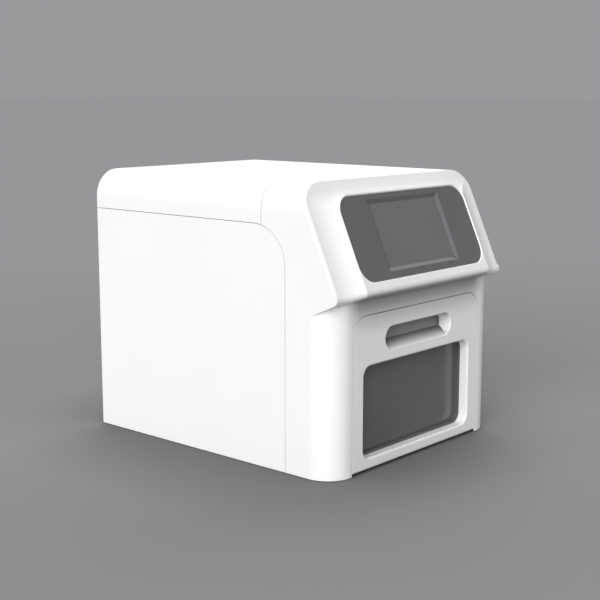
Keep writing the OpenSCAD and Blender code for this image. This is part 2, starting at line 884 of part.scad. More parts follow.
module plate_tray() {
    nest_top = tray_z + heater_h + nest_lip;
    in_w = plate_w + 2 * nest_gap;
    in_l = plate_l + 2 * nest_gap;
    out_w = in_w + 2 * nest_wall;
    out_l = in_l + 2 * nest_wall;
    color("lightgray") {
        span([-tray_half, tray_front, tray_z - tray_plate_t], [tray_half, tray_back, tray_z]);
        for (x = [-1, 1]) translate([x * nest_x, nest_y, tray_z]) difference() {
            span([-out_w / 2, -out_l / 2, -eps / 2], [out_w / 2, out_l / 2, nest_top - tray_z]);
            span([-in_w / 2, -in_l / 2, 0], [in_w / 2, in_l / 2, nest_top]);
            // finger gap in the front wall
            span([-18, -out_l, heater_h - 6], [18, -in_l / 2 + eps, nest_top]);
        }
    }
}

module heater_blocks() {
    w = plate_w - 8;
    l = plate_l - 8;
    color("darkgray") for (x = [-1, 1]) translate([x * nest_x, nest_y, tray_z]) difference() {
        span([-w / 2, -l / 2, 0], [w / 2, l / 2, heater_h]);
        // seats for the well bottoms, one groove for each column
        for (i = [-5.5:1:5.5]) translate([-w / 2 - eps, i * well_pitch, heater_h + 1]) rotate([0, 90, 0])
            cylinder(r = 3, h = w + 2 * eps);
    }
}

module tray_nut() {
    color("goldenrod") difference() {
        span([-9, tray_back - 12, tray_z], [9, tray_back - 2, tray_screw_z + 7]);
        translate([0, tray_back - 12 - eps, tray_screw_z]) rotate([-90, 0, 0])
            cylinder(r = small_screw_r + fit, h = 10 + 2 * eps);
    }
}

module tray_screw() {
    y0 = tray_back - tray_travel - 18;
    color("silver") translate([0, y0, tray_screw_z]) rotate([-90, 0, 0])
        cylinder(r = small_screw_r, h = back_y + back_t + 8 - y0);
}

// Square stepper motor on its face at z = 0, body upwards, with a pilot boss and a shaft bore
module motor(bore_r) {
    difference() {
        union() {
            intersection() {
                translate([-motor_w / 2, -motor_w / 2, 0]) cube([motor_w, motor_w, motor_l]);
                rotate([0, 0, 45]) translate([-27, -27, 0]) cube([54, 54, motor_l]);
            }
            translate([0, 0, -2]) cylinder(r = boss_r, h = 2 + eps);
        }
        translate([0, 0, -3]) cylinder(r = bore_r + fit, h = 18);
        // waist between the two end caps
        for (a = [0:90:270]) rotate([0, 0, a]) translate([motor_w / 2 - 1, -motor_w, 9])
            cube([2, 2 * motor_w, motor_l - 18]);
    }
}

module tray_motor() {
    color("dimgray") translate([0, back_y + back_t, tray_screw_z]) rotate([-90, 0, 0]) motor(small_screw_r);
}

// ---------- rod lift ----------

module lift_backplate() {
    w = chamber_half + chamber_t;
    color("silver") difference() {
        span([-w, back_y, floor_z], [w, back_y + back_t, motor_shelf_z]);
        translate([0, back_y - eps, tray_screw_z]) rotate([-90, 0, 0])
            cylinder(r = boss_r + gap, h = back_t + 2 * eps);
        // cable windows
        for (x = [-1, 1]) span([x * 45 - 15, back_y - eps, 70], [x * 45 + 15, back_y + back_t + eps, 110]);
    }
}

module lift_rails() {
    color("silver") for (x = [-1, 1])
        span([x * lift_rail_x - lift_rail_w / 2, back_y - lift_rail_t, shelf_z - head_travel],
             [x * lift_rail_x + lift_rail_w / 2, back_y, bridge_z + 40]);
}

module lift_runners() {
    z0 = shelf_z + 40;
    color("gray") for (x = [-1, 1]) difference() {
        span([x * lift_rail_x - lift_runner_w / 2, head_back + 6, z0],
             [x * lift_rail_x + lift_runner_w / 2, back_y - 2.5, z0 + lift_runner_h]);
        span([x * lift_rail_x - lift_rail_w / 2 - gap, back_y - lift_rail_t - gap, z0 - eps],
             [x * lift_rail_x + lift_rail_w / 2 + gap, back_y, z0 + lift_runner_h + eps]);
    }
}

// Places children on each of the rods of both plates
module at_rods() {
    for (p = [-1, 1], i = [-3.5:1:3.5], y = row_y)
        translate([p * nest_x + i * well_pitch, y, 0]) children();
}

module head_frame() {
    plate_back = head_back + 6;
    color("lightgray") difference() {
        union() {
            span([-head_half, head_back, shelf_z], [head_half, plate_back, bridge_z + shelf_t]);
            span([-head_half, head_front, shelf_z], [head_half, plate_back, shelf_top]);
            span([-head_half, bridge_front, bridge_z], [head_half, plate_back, bridge_z + shelf_t]);
            mirrored_x() span([head_half - head_side, head_back - head_side_l, shelf_z],
                              [head_half, plate_back, bridge_z + shelf_t]);
        }
        span([-55, head_back - eps, shelf_z + 30], [55, plate_back + eps, bridge_z - 24]);
        at_rods() translate([0, 0, shelf_z - eps]) cylinder(r = rod_r + 1.2, h = shelf_t + 2 * eps);
        translate([0, lift_screw_y, bridge_z - eps]) cylinder(r = lift_screw_r + 1.5, h = shelf_t + 2 * eps);
        translate([0, rod_screw_y, bridge_z - eps]) cylinder(r = boss_r + gap, h = shelf_t + 2 * eps);
    }
}

// Flanged lead screw nut with its flange seat at z = 0
module flanged_nut(bore_r, flange_r, body_l) {
    difference() {
        union() {
            cylinder(r = flange_r, h = 3.5);
            translate([0, 0, -body_l]) cylinder(r = bore_r + 1.2, h = body_l + eps);
        }
        translate([0, 0, -body_l - eps]) cylinder(r = bore_r + fit, h = body_l + 6);
    }
}

module lift_nut() {
    color("goldenrod") translate([0, lift_screw_y, bridge_z + shelf_t]) flanged_nut(lift_screw_r, 10, 16);
}

module lift_screw() {
    z0 = bridge_z - head_travel - 18;
    color("silver") translate([0, lift_screw_y, z0])
        cylinder(r = lift_screw_r, h = motor_shelf_z + 4 + 10 - z0);
}

module motor_shelf() {
    t = 4;
    y0 = lift_screw_y - motor_w / 2 - 5;
    color("silver") difference() {
        union() {
            span([-45, y0, motor_shelf_z], [45, back_y + back_t, motor_shelf_z + t]);
            mirrored_x() translate([41, 0, 0]) rotate([90, 0, 90]) linear_extrude(4)
                polygon([[back_y, motor_shelf_z - 30], [back_y, motor_shelf_z + 1],
                         [y0 + 8, motor_shelf_z + 1], [y0 + 8, motor_shelf_z]]);
        }
        translate([0, lift_screw_y, motor_shelf_z - eps]) cylinder(r = boss_r + gap, h = t + 2 * eps);
    }
}

module lift_motor() {
    color("dimgray") translate([0, lift_screw_y, motor_shelf_z + 4]) motor(lift_screw_r);
}

module rod_plate() {
    back = rod_screw_y + 4;
    color("lightgray") difference() {
        union() {
            span([-head_half + 3, head_front + 1, rod_plate_z], [head_half - 3, back, rod_plate_z + rod_plate_t]);
            span([-24, back - eps, rod_plate_z], [24, rod_screw_y + 14, rod_plate_z + rod_plate_t]);
            for (x = [-1, 1]) translate([x * guide_x, guide_y, rod_plate_z])
                cylinder(r = guide_r + 2.5, h = rod_plate_t + 10);
        }
        for (x = [-1, 1]) translate([x * guide_x, guide_y, rod_plate_z - eps])
            cylinder(r = guide_r + fit, h = rod_plate_t + 12);
        translate([0, rod_screw_y, rod_plate_z - eps])
            cylinder(r = small_screw_r + 1.5, h = rod_plate_t + 2 * eps);
    }
}

module magnet_rods() {
    color("silver") at_rods() translate([0, 0, rod_plate_z - rod_l]) {
        translate([0, 0, rod_r]) cylinder(r = rod_r, h = rod_l - rod_r, $fn = 24);
        translate([0, 0, rod_r]) sphere(rod_r, $fn = 24);
    }
}

module rod_guides() {
    color("silver") for (x = [-1, 1]) translate([x * guide_x, guide_y, shelf_top])
        cylinder(r = guide_r, h = bridge_z - shelf_top);
}

module rod_nut() {
    color("goldenrod") translate([0, rod_screw_y, rod_plate_z + rod_plate_t])
        flanged_nut(small_screw_r, 8, rod_plate_t + 4);
}

module rod_screw() {
    z0 = shelf_top + 2;
    color("silver") translate([0, rod_screw_y, z0])
        cylinder(r = small_screw_r, h = bridge_z + shelf_t + 8 - z0);
}

module rod_motor() {
    color("dimgray") translate([0, rod_screw_y, bridge_z + shelf_t]) motor(small_screw_r);
}

// ---------- electrics ----------

module power_supply() {
    slot_in = 15;
    y0 = psu_y1 - psu_l;
    color("silver") difference() {
        span([psu_x - psu_w / 2, y0, floor_z], [psu_x + psu_w / 2, psu_y1, floor_z + psu_h]);
        for (i = [0:9]) translate([psu_x, y0 + 20 + 12 * i, floor_z + psu_h])
            span([-psu_w / 2 + slot_in, 0, -2], [psu_w / 2 - slot_in, 5, eps]);
        // terminal bay
        translate([psu_x, y0, floor_z + psu_h])
            span([-psu_w / 2 + 5, -eps, -psu_h + 12], [psu_w / 2 - 5, 10, eps]);
    }
}

board_y = back_y + back_t + 8;
board_t = 1.6;
board_z = 120;

module control_board() {
    color("darkgreen") {
        span([-110, board_y, board_z], [110, board_y + board_t, board_z + 170]);
        for (x = [-80:40:80]) translate([x, board_y + board_t, board_z + 25])
            span([-9, -0.1, 0], [9, 9, 12]);
        for (x = [-60, 0, 60]) translate([x, board_y + board_t, board_z + 85])
            span([-10, -0.1, -10], [10, 2.2, 10]);
        for (x = [-90, -70, 70, 90]) translate([x, board_y + board_t - 0.1, board_z + 140]) rotate([-90, 0, 0])
            cylinder(r = 6, h = 16);
    }
}

module board_spacers() {
    color("goldenrod") for (x = [-102, 102], z = [8, 85, 162])
        translate([x, back_y + back_t, board_z + z]) rotate([-90, 0, 0]) cylinder(r = 3, h = 8);
}

module fan_frame() {
    r = fan_hole_r + 0.5;
    color("dimgray") translate([fan_x, panel_in_y, fan_z]) rotate([90, 0, 0]) {
        difference() {
            round_plate(fan_w, fan_w, 5, fan_l);
            translate([0, 0, -eps]) cylinder(r = r, h = fan_l + 2 * eps);
            for (x = [-1, 1], y = [-1, 1]) translate([x * 35.75, y * 35.75, -eps])
                cylinder(r = 2.2, h = fan_l + 2 * eps);
        }
        // spider and pin that carry the rotor
        for (a = [40:120:280]) rotate([0, 0, a]) translate([0, -2, fan_l - 3]) cube([r + 0.8, 4, 2.6]);
        translate([0, 0, fan_l - 3]) cylinder(r = 17, h = 3);
        translate([0, 0, 8]) cylinder(r = 2, h = fan_l - 9);
    }
}

module fan_rotor() {
    hub_l = fan_l - 7;
    color("black") translate([fan_x, panel_in_y, fan_z]) rotate([90, 0, 0]) difference() {
        union() {
            translate([0, 0, 3]) cylinder(r = 16, h = hub_l);
            intersection() {
                for (a = [0:360 / 7:359]) rotate([0, 0, a]) translate([25, 0, 3 + hub_l / 2]) rotate([38, 0, 0])
                    cube([26, 24, 1.6], center = true);
                translate([0, 0, 3.5]) cylinder(r = fan_hole_r - 1, h = hub_l - 1);
            }
        }
        translate([0, 0, 6]) cylinder(r = 2 + fit, h = fan_l);
    }
}

module fan_guard() {
    wire = 1.8;
    color("silver") translate([fan_x, panel_out_y + wire, fan_z]) rotate([90, 0, 0]) linear_extrude(wire) {
        for (r = [8:8:40]) difference() {
            circle(r + wire / 2);
            circle(r - wire / 2);
        }
        for (a = [45:90:315]) rotate(a) {
            translate([8, -wire / 2]) square([40, wire]);
            translate([50.5, 0]) circle(3.6);
        }
    }
}

socket_z = inlet_z - 21;
fuse_z = inlet_z + 4;
rocker_z = inlet_z + 25;
rocker_y = panel_out_y - 9;

module power_inlet() {
    w = inlet_w / 2 - 2;
    h = inlet_h / 2 - 2;
    flange_t = 1.6;
    face_y = panel_out_y + flange_t;
    color("black") difference() {
        union() {
            translate([inlet_x, panel_out_y - inlet_l, inlet_z]) span([-w, 0, -h], [w, inlet_l + eps, h]);
            translate([inlet_x, face_y, inlet_z]) rotate([90, 0, 0])
                round_plate(inlet_w, inlet_h, 3, flange_t);
        }
        translate([inlet_x, face_y, socket_z]) span([-12.2, -17, -8.5], [12.2, eps, 8.5]);
        translate([inlet_x, face_y, fuse_z]) span([-10.5, -22, -5], [10.5, eps, 5]);
        translate([inlet_x, face_y, rocker_z]) span([-9.5, -20, -9.6], [9.5, eps, 9.6]);
        translate([inlet_x - 12, rocker_y, rocker_z]) rotate([0, 90, 0]) cylinder(r = 1.4 + fit, h = 24);
    }
    color("silver") for (p = [[-7, -1], [0, 3.2], [7, -1]])
        translate([inlet_x + p[0], face_y - 18, socket_z + p[1]]) span([-1, 0, -2], [1, 14, 2]);
}

module fuse_drawer() {
    w = 10.5 - gap;
    h = 5 - gap;
    face_y = panel_out_y + 1.6;
    color("black") translate([inlet_x, face_y, fuse_z]) difference() {
        union() {
            span([-w, -20, -h], [w, 0, h]);
            span([-w, -eps, -h], [w, 0.6, h]);
        }
        // two fuse wells, open upwards
        for (y = [-18, -10]) span([-8, y, -h + 1], [8, y + 6, h + eps]);
    }
}

module power_switch() {
    tilt = 10;
    color("firebrick") translate([inlet_x, rocker_y, rocker_z]) rotate([tilt, 0, 0]) {
        translate([-9.2, 0, 0]) rotate([90, 0, 90]) linear_extrude(18.4)
            polygon([[-3, -5], [7.5, -7.8], [6.2, 0], [7.5, 7.8], [-3, 5]]);
        translate([-11.5, 0, 0]) rotate([0, 90, 0]) cylinder(r = 1.4, h = 23);
    }
}

module data_ports() {
    color("silver") translate([port_x, panel_out_y, port_z]) difference() {
        span([-25, -18, -9], [25, 0, 9]);
        span([-21, -13, -3], [-8, eps, 3]);
        span([-5, -13, -4.5], [4, eps, 4.5]);
        span([8, -13, -4.5], [21, eps, 4.5]);
    }
}

front_fascia();
top_cover();
side_panel_left();
side_panel_right();
rear_panel();
base_plate();
rubber_feet();
case_screws();
display_panel();
touch_screen();
lcd_module();
display_bracket();
door_shell();
door_liner();
door_window();
window_gasket();
door_seal();
door_magnets();
hinge_blocks();
hinge_pins();
chamber_front();
catch_plates();
chamber_wall_left();
chamber_wall_right();
chamber_hood();
uv_lamp();
lamp_holders();
light_strip();
tray_rails();
tray_runners();
plate_tray();
heater_blocks();
tray_nut();
tray_screw();
tray_motor();
lift_backplate();
lift_rails();
lift_runners();
head_frame();
lift_nut();
lift_screw();
lift_motor();
motor_shelf();
rod_plate();
magnet_rods();
rod_guides();
rod_nut();
rod_screw();
rod_motor();
power_supply();
control_board();
board_spacers();
fan_frame();
fan_rotor();
fan_guard();
power_inlet();
fuse_drawer();
power_switch();
data_ports();
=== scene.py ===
import json
import math
import bmesh
import bpy
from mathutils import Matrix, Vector


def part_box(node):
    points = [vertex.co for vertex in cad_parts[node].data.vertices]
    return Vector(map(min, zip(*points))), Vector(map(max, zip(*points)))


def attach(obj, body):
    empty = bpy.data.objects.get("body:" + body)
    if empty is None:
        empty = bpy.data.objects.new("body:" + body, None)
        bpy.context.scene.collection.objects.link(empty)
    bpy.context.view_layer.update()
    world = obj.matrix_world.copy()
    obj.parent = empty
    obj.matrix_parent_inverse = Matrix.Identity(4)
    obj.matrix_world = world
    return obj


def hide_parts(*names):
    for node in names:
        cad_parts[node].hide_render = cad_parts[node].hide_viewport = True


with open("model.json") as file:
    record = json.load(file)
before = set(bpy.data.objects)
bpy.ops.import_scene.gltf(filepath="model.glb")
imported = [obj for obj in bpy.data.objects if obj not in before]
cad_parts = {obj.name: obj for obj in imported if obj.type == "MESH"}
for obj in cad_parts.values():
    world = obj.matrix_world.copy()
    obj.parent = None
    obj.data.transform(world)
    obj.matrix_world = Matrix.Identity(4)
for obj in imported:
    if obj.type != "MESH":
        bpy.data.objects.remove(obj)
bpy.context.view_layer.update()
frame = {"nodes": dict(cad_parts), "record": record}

MM = 0.001
NODES = frame["nodes"]
SLOT_OF = {s["node"]: s["material_slot"] for s in frame["record"]["subparts"]}


# ---------- materials ----------

# The range that noise values mostly keep to, and its middle
NOISE_LOW, NOISE_MID, NOISE_HIGH = 0.3, 0.5, 0.7
CLOUD_NOISE = {"scale": 9.0, "detail": 3.0, "rough": 0.55}
FINE_NOISE = {"detail": 2.0, "rough": 0.6}
RELIEF_STRENGTH = 0.35
IOR = 1.5
BEVEL_SAMPLES = 6
PAINTED_SHADE_SAMPLES = 32

# Painted shade by closeness to other surfaces: how far it looks for them, how dark it gets,
# and the open shares of the view at which it is darkest and lightest
POCKET_PAINTED_SHADE = {"reach": 0.05, "darkest": 0.2, "shut": 0.35, "clear": 0.9}
CHIN_PAINTED_SHADOW = {"reach": 0.06, "darkest": 0.5, "shut": 0.18, "clear": 0.42, "from_above": True}
FLOOR_PAINTED_SHADOW = {"reach": 0.22, "darkest": 0.58, "shut": 0.45, "clear": 1.0}

# Where the front mouldings take that painted shade: heights and distances from the middle, in
# metres, and the x of the normal, which leaves out faces that look left
PAINTED_SHADE_HEIGHTS = (0.158, 0.250)
PAINTED_SHADE_SOFT = 0.012
PAINTED_SHADE_SIDES = (0.138, 0.165)
PAINTED_SHADE_NORMALS = (-0.75, -0.25)

# Painted shade on the slope round the screen that faces up and painted light on the one that faces
# left:
# factors of the colour, and the z or x of the normal they belong to
UP_SLOPE_PAINTED_SHADE = {"low": 1.0, "high": 0.5, "start": 0.55, "end": 0.7}
LEFT_SLOPE_PAINTED_LIGHT = {"low": 1.3, "high": 1.0, "start": -0.5, "end": -0.3}


def new_material(name):
    mat = bpy.data.materials.new(name)
    mat.use_nodes = True
    tree = mat.node_tree
    return mat, tree, tree.nodes["Principled BSDF"]


def noise(tree, coords, scale, detail, rough):
    n = tree.nodes.new("ShaderNodeTexNoise")
    n.inputs["Scale"].default_value = scale
    n.inputs["Detail"].default_value = detail
    n.inputs["Roughness"].default_value = rough
    tree.links.new(coords, n.inputs["Vector"])
    return n.outputs["Fac"]


def remap(tree, value, low, high, start=NOISE_LOW, end=NOISE_HIGH):
    """The value's range from start to end, spread over low to high."""
    m = tree.nodes.new("ShaderNodeMapRange")
    m.inputs["From Min"].default_value = start
    m.inputs["From Max"].default_value = end
    m.inputs["To Min"].default_value = low
    m.inputs["To Max"].default_value = high
    tree.links.new(value, m.inputs["Value"])
    return m.outputs["Result"]


def ramp(tree, value, stops):
    r = tree.nodes.new("ShaderNodeValToRGB")
    r.color_ramp.interpolation = "EASE"
    while len(r.color_ramp.elements) < len(stops):
        r.color_ramp.elements.new(0.5)
    for e, (pos, colour) in zip(r.color_ramp.elements, stops):
        e.position = pos
        e.color = (*colour, 1.0)
    tree.links.new(value, r.inputs["Fac"])
    return r.outputs["Color"]


def stretched(tree, scale):
    """Object coordinates, stretched for brushed and drawn finishes."""
    coord = tree.nodes.new("ShaderNodeTexCoord")
    mapping = tree.nodes.new("ShaderNodeMapping")
    mapping.inputs["Scale"].default_value = scale
    tree.links.new(coord.outputs["Object"], mapping.inputs["Vector"])
    return mapping.outputs["Vector"]


def axes_of(tree, vector):
    split = tree.nodes.new("ShaderNodeSeparateXYZ")
    tree.links.new(vector, split.inputs[0])
    return split.outputs


def normal_axes(tree):
    return axes_of(tree, tree.nodes.new("ShaderNodeNewGeometry").outputs["Normal"])


def times(tree, a, b):
    m = tree.nodes.new("ShaderNodeMath")
    m.operation = "MULTIPLY"
    tree.links.new(a, m.inputs[0])
    tree.links.new(b, m.inputs[1])
    return m.outputs["Value"]


def scaled(tree, colour, factor):
    scale = tree.nodes.new("ShaderNodeVectorMath")
    scale.operation = "SCALE"
    tree.links.new(colour, scale.inputs[0])
    tree.links.new(factor, scale.inputs["Scale"])
    return scale.outputs["Vector"]


def painted_occlusion_shade(tree, reach, darkest, shut, clear, from_above=False):
    """Painted shade: 1 in the open, and darkest where surfaces within reach close the place in."""
    seen = tree.nodes.new("ShaderNodeAmbientOcclusion")
    seen.samples = PAINTED_SHADE_SAMPLES
    seen.inputs["Distance"].default_value = reach
    if from_above:
        above = tree.nodes.new("ShaderNodeCombineXYZ")
        above.inputs["Z"].default_value = 1.0
        tree.links.new(above.outputs[0], seen.inputs["Normal"])
    return remap(tree, seen.outputs["AO"], darkest, 1.0, shut, clear)


def painted_shade_under_head(tree, colour):
    """The colour, with painted shade in the handle pocket and a painted shadow under the chin."""
    place = axes_of(tree, tree.nodes.new("ShaderNodeTexCoord").outputs["Object"])
    aside = tree.nodes.new("ShaderNodeMath")
    aside.operation = "ABSOLUTE"
    tree.links.new(place["X"], aside.inputs[0])
    bottom, top = PAINTED_SHADE_HEIGHTS
    painted_shade_zone = times(tree, remap(tree, place["Z"], 0.0, 1.0, bottom, bottom + PAINTED_SHADE_SOFT),
                 remap(tree, place["Z"], 1.0, 0.0, top, top + PAINTED_SHADE_SOFT))
    painted_shade_zone = times(tree, painted_shade_zone, remap(tree, aside.outputs["Value"], 1.0, 0.0, *PAINTED_SHADE_SIDES))
    painted_shade_zone = times(tree, painted_shade_zone, remap(tree, normal_axes(tree)["X"], 0.0, 1.0, *PAINTED_SHADE_NORMALS))
    depth = times(tree, painted_occlusion_shade(tree, **POCKET_PAINTED_SHADE), painted_occlusion_shade(tree, **CHIN_PAINTED_SHADOW))
    part = tree.nodes.new("ShaderNodeMix")
    tree.links.new(painted_shade_zone, part.inputs["Factor"])
    part.inputs["A"].default_value = 1.0
    tree.links.new(depth, part.inputs["B"])
    return scaled(tree, colour, part.outputs["Result"])


def painted_light_on_screen_slopes(tree, colour):
    """The colour, with painted shade on the slope that faces up and painted light on the one that
    faces left.
    """
    facing = normal_axes(tree)
    return scaled(tree, colour, times(tree, remap(tree, facing["Z"], **UP_SLOPE_PAINTED_SHADE),
                                      remap(tree, facing["X"], **LEFT_SLOPE_PAINTED_LIGHT)))


def finish(name, colour, rough, metal=0.0, spread=0.03, tint=(0, 0, 0), grain=400, bump=0.02,
           rough_spread=0.06, stretch=(1, 1, 1), alpha=1.0, edge=0.0, tone=None):
    """A finish with cloudy colour, uneven roughness and a fine relief; bump and edge in mm."""
    mat, tree, bsdf = new_material(name)
    coords = stretched(tree, stretch)
    cloud = noise(tree, coords, **CLOUD_NOISE)
    fine = noise(tree, coords, grain, **FINE_NOISE)
    low = [max(0.0, c * (1 - spread) + t * spread) for c, t in zip(colour, tint)]
    high = [min(1.0, c * (1 + spread)) for c in colour]
    base = ramp(tree, cloud, [(NOISE_LOW, low), (NOISE_MID, colour), (NOISE_HIGH, high)])
    # tone paints light and shade into the colour: painted shade round the front, painted light on
    # the screen's slopes
    if tone:
        base = tone(tree, base)
    tree.links.new(base, bsdf.inputs["Base Color"])
    both = tree.nodes.new("ShaderNodeMix")
    both.inputs["Factor"].default_value = 0.5
    tree.links.new(cloud, both.inputs["A"])
    tree.links.new(fine, both.inputs["B"])
    tree.links.new(remap(tree, both.outputs["Result"], rough - rough_spread, rough + rough_spread),
                   bsdf.inputs["Roughness"])
    relief = tree.nodes.new("ShaderNodeBump")
    relief.inputs["Strength"].default_value = RELIEF_STRENGTH
    relief.inputs["Distance"].default_value = bump * MM
    tree.links.new(fine, relief.inputs["Height"])
    if edge:
        soft = tree.nodes.new("ShaderNodeBevel")
        soft.samples = BEVEL_SAMPLES
        soft.inputs["Radius"].default_value = edge * MM
        tree.links.new(soft.outputs["Normal"], relief.inputs["Normal"])
    tree.links.new(relief.outputs["Normal"], bsdf.inputs["Normal"])
    bsdf.inputs["Metallic"].default_value = metal
    bsdf.inputs["IOR"].default_value = IOR
    bsdf.inputs["Alpha"].default_value = alpha
    return mat


SHELL_LOOK = {"colour": (0.86, 0.86, 0.86), "rough": 0.42, "spread": 0.012, "grain": 900,
              "bump": 0.03}

# What each slot's finish sets
LOOKS = {
    "white_shell": {**SHELL_LOOK, "edge": 0.7},
    "inner_white": {"colour": (0.74, 0.74, 0.73), "rough": 0.5, "spread": 0.02, "grain": 700,
                    "bump": 0.03},
    # The screen's colour takes painted shade and painted light on its slopes
    "dark_glass": {"colour": (0.120, 0.119, 0.126), "rough": 0.3, "spread": 0.05, "grain": 1500,
                   "bump": 0.01, "tone": painted_light_on_screen_slopes},
    "screen_glass": {"colour": (0.148, 0.148, 0.151), "rough": 0.22, "spread": 0.04,
                     "grain": 1200, "bump": 0.005},
    "smoked_window": {"colour": (0.135, 0.135, 0.138), "rough": 0.14, "spread": 0.04,
                      "grain": 800, "bump": 0.004, "rough_spread": 0.03, "alpha": 0.9},
    "black_plastic": {"colour": (0.028, 0.028, 0.029), "rough": 0.45, "spread": 0.12,
                      "grain": 1200, "bump": 0.03},
    "black_rubber": {"colour": (0.035, 0.035, 0.036), "rough": 0.72, "spread": 0.15,
                     "grain": 1500, "bump": 0.05},
    "sheet_steel": {"colour": (0.72, 0.72, 0.71), "rough": 0.48, "spread": 0.02, "grain": 1100,
                    "bump": 0.06},
    "zinc_steel": {"colour": (0.58, 0.59, 0.60), "rough": 0.34, "metal": 1.0, "spread": 0.08,
                   "tint": (0.1, 0.1, 0.12), "grain": 160},
    "aluminium": {"colour": (0.66, 0.67, 0.68), "rough": 0.36, "metal": 1.0, "spread": 0.04,
                  "grain": 260, "stretch": (1, 14, 14)},
    "dark_aluminium": {"colour": (0.2, 0.2, 0.21), "rough": 0.42, "metal": 1.0, "spread": 0.06,
                       "grain": 500, "bump": 0.03},
    "ground_steel": {"colour": (0.6, 0.61, 0.62), "rough": 0.2, "metal": 1.0, "spread": 0.04,
                     "bump": 0.01, "stretch": (1, 1, 12)},
    "brass": {"colour": (0.66, 0.47, 0.2), "rough": 0.28, "metal": 1.0, "spread": 0.08,
              "grain": 500, "bump": 0.015},
    "lamp_glass": {"colour": (0.86, 0.88, 0.9), "rough": 0.12, "spread": 0.02, "grain": 300,
                   "bump": 0.003, "rough_spread": 0.03},
    "motor_black": {"colour": (0.05, 0.05, 0.052), "rough": 0.4, "spread": 0.1, "grain": 900,
                    "bump": 0.03},
    "board_green": {"colour": (0.02, 0.15, 0.06), "rough": 0.35, "spread": 0.15, "grain": 300,
                    "bump": 0.03},
    "nickel": {"colour": (0.66, 0.65, 0.62), "rough": 0.18, "metal": 1.0, "spread": 0.04,
               "grain": 600, "bump": 0.008},
    "rocker_red": {"colour": (0.5, 0.03, 0.025), "rough": 0.3, "spread": 0.06, "grain": 900,
                   "bump": 0.01},
    "port_metal": {"colour": (0.62, 0.63, 0.64), "rough": 0.25, "metal": 1.0, "spread": 0.05,
                   "grain": 700, "bump": 0.01},
}
MATERIALS = {slot: finish(slot, **look) for slot, look in LOOKS.items()}

# The shell's finish with painted shade in the handle pocket and a painted shadow under the chin,
# for the front mouldings
FRONT_SHELL_PAINTED_SHADE = finish("front_shell_painted_shade", **SHELL_LOOK, edge=1.0, tone=painted_shade_under_head)
GASKET_GREY = finish("gasket_grey", (0.09, 0.09, 0.092), 0.55, spread=0.08, grain=1500, bump=0.03)

# Nodes with a finish of their own in place of their slot's; the front mouldings' one carries
# painted shade
OWN_FINISH = {"window_gasket": GASKET_GREY, "front_fascia": FRONT_SHELL_PAINTED_SHADE, "door_shell": FRONT_SHELL_PAINTED_SHADE}

for name, obj in NODES.items():
    obj.data.materials.clear()
    obj.data.materials.append(OWN_FINISH.get(name, MATERIALS[SLOT_OF[name]]))


# ---------- dressing ----------

SHARP_EDGE = math.radians(35)
HALF_FLAT = math.pi / 6
BLOCK_BEVEL = 0.15

# Low domed head with a hexagon socket: radius and height, as shares of the head's own
HEAD_PROFILE = [(1.0, 0.0), (1.0, 0.35), (0.93, 0.7), (0.74, 0.95), (0.6, 1.0), (0.5, 1.0),
                (0.47, 0.93), (0.45, 0.25), (0.2, 0.12)]
HEAD_SOCKET = (5, 6, 7, 8)
HEAD_SIDES = 36

REAR_HEAD_R = 3.2 * MM
REAR_PER_SIDE = 4
GUARD_HEAD_R = 2.7 * MM
GUARD_HEAD_H = 0.45 * MM
GUARD_SEAT = 0.02 * MM
GUARD_LUG = 35.7 * MM

THREAD_PITCH = 2.0 * MM
THREAD_STARTS = 4
THREAD_LEAD_IN = 2.2 * MM
THREAD_TIP = 0.8 * MM
THREAD_STEPS = 6
THREAD_SIDES = 32
# A groove's depth falls with this slope from this peak, and is cut off at 1 and 0
GROOVE_PEAK = 2.2
GROOVE_SLOPE = 8.8

FOOT_R = 10 * MM
FOOT_SIDES = 40
# Radius and height, as shares of the foot's own
FOOT_PROFILE = [(0.25, 0.5), (0.3, 0.0), (0.9, 0.0), (0.97, 0.06), (1.0, 0.2), (1.0, 0.6),
                (0.94, 1.0)]

# How far the mains socket's middle lies below the inlet's, and its blades' places from there
SOCKET_DOWN = 21 * MM
BLADES = ((-7 * MM, -2 * MM), (7 * MM, -2 * MM), (0.0, 2 * MM))
BLADE_HALF_X = 1 * MM
BLADE_HALF_Z = 2 * MM
BLADE_ROOT = 16.9 * MM
BLADE_LENGTH = 12.5 * MM

# x from and to, z from and to, and length of each insulator, in mm from the sockets' middle
PORT_INSULATORS = [
    (8.5, 20.5, -4.0, 4.0, 1.0), (8.6, 20.4, 3.1, 4.0, 10.5),
    (-4.5, 3.5, -4.0, 4.0, 1.0), (-2.6, 1.6, -1.4, 1.4, 9.5),
    (-20.6, -8.4, -2.6, 2.6, 1.0), (-20.0, -9.0, 0.4, 2.0, 10.5),
]
PORT_DEPTH = 12.4 * MM
# Spring contacts of the network socket
LAN_X = 14.5 * MM
CONTACTS = 8
CONTACT_PITCH = 1.02 * MM
CONTACT_HALF = 0.22 * MM
CONTACT_Y = (1.2 * MM, 9.5 * MM)
CONTACT_Z = (2.3 * MM, 3.0 * MM)

DIODES = 14
DIODE_HALF = 1.4 * MM
DIODE_DROP = 0.7 * MM
DIODE_SUNK = 0.3 * MM


def piece(name, bm, slot, body, *nodes):
    """A finished mesh that rides a body and may stand in for CAD nodes."""
    mesh = bpy.data.meshes.new(name)
    bm.normal_update()
    bm.to_mesh(mesh)
    bm.free()
    obj = bpy.data.objects.new(name, mesh)
    bpy.context.scene.collection.objects.link(obj)
    mesh.materials.append(MATERIALS[slot])
    for poly in mesh.polygons:
        poly.use_smooth = True
    obj.modifiers.new("edges", "EDGE_SPLIT").split_angle = SHARP_EDGE
    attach(obj, body)
    if nodes:
        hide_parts(*nodes)


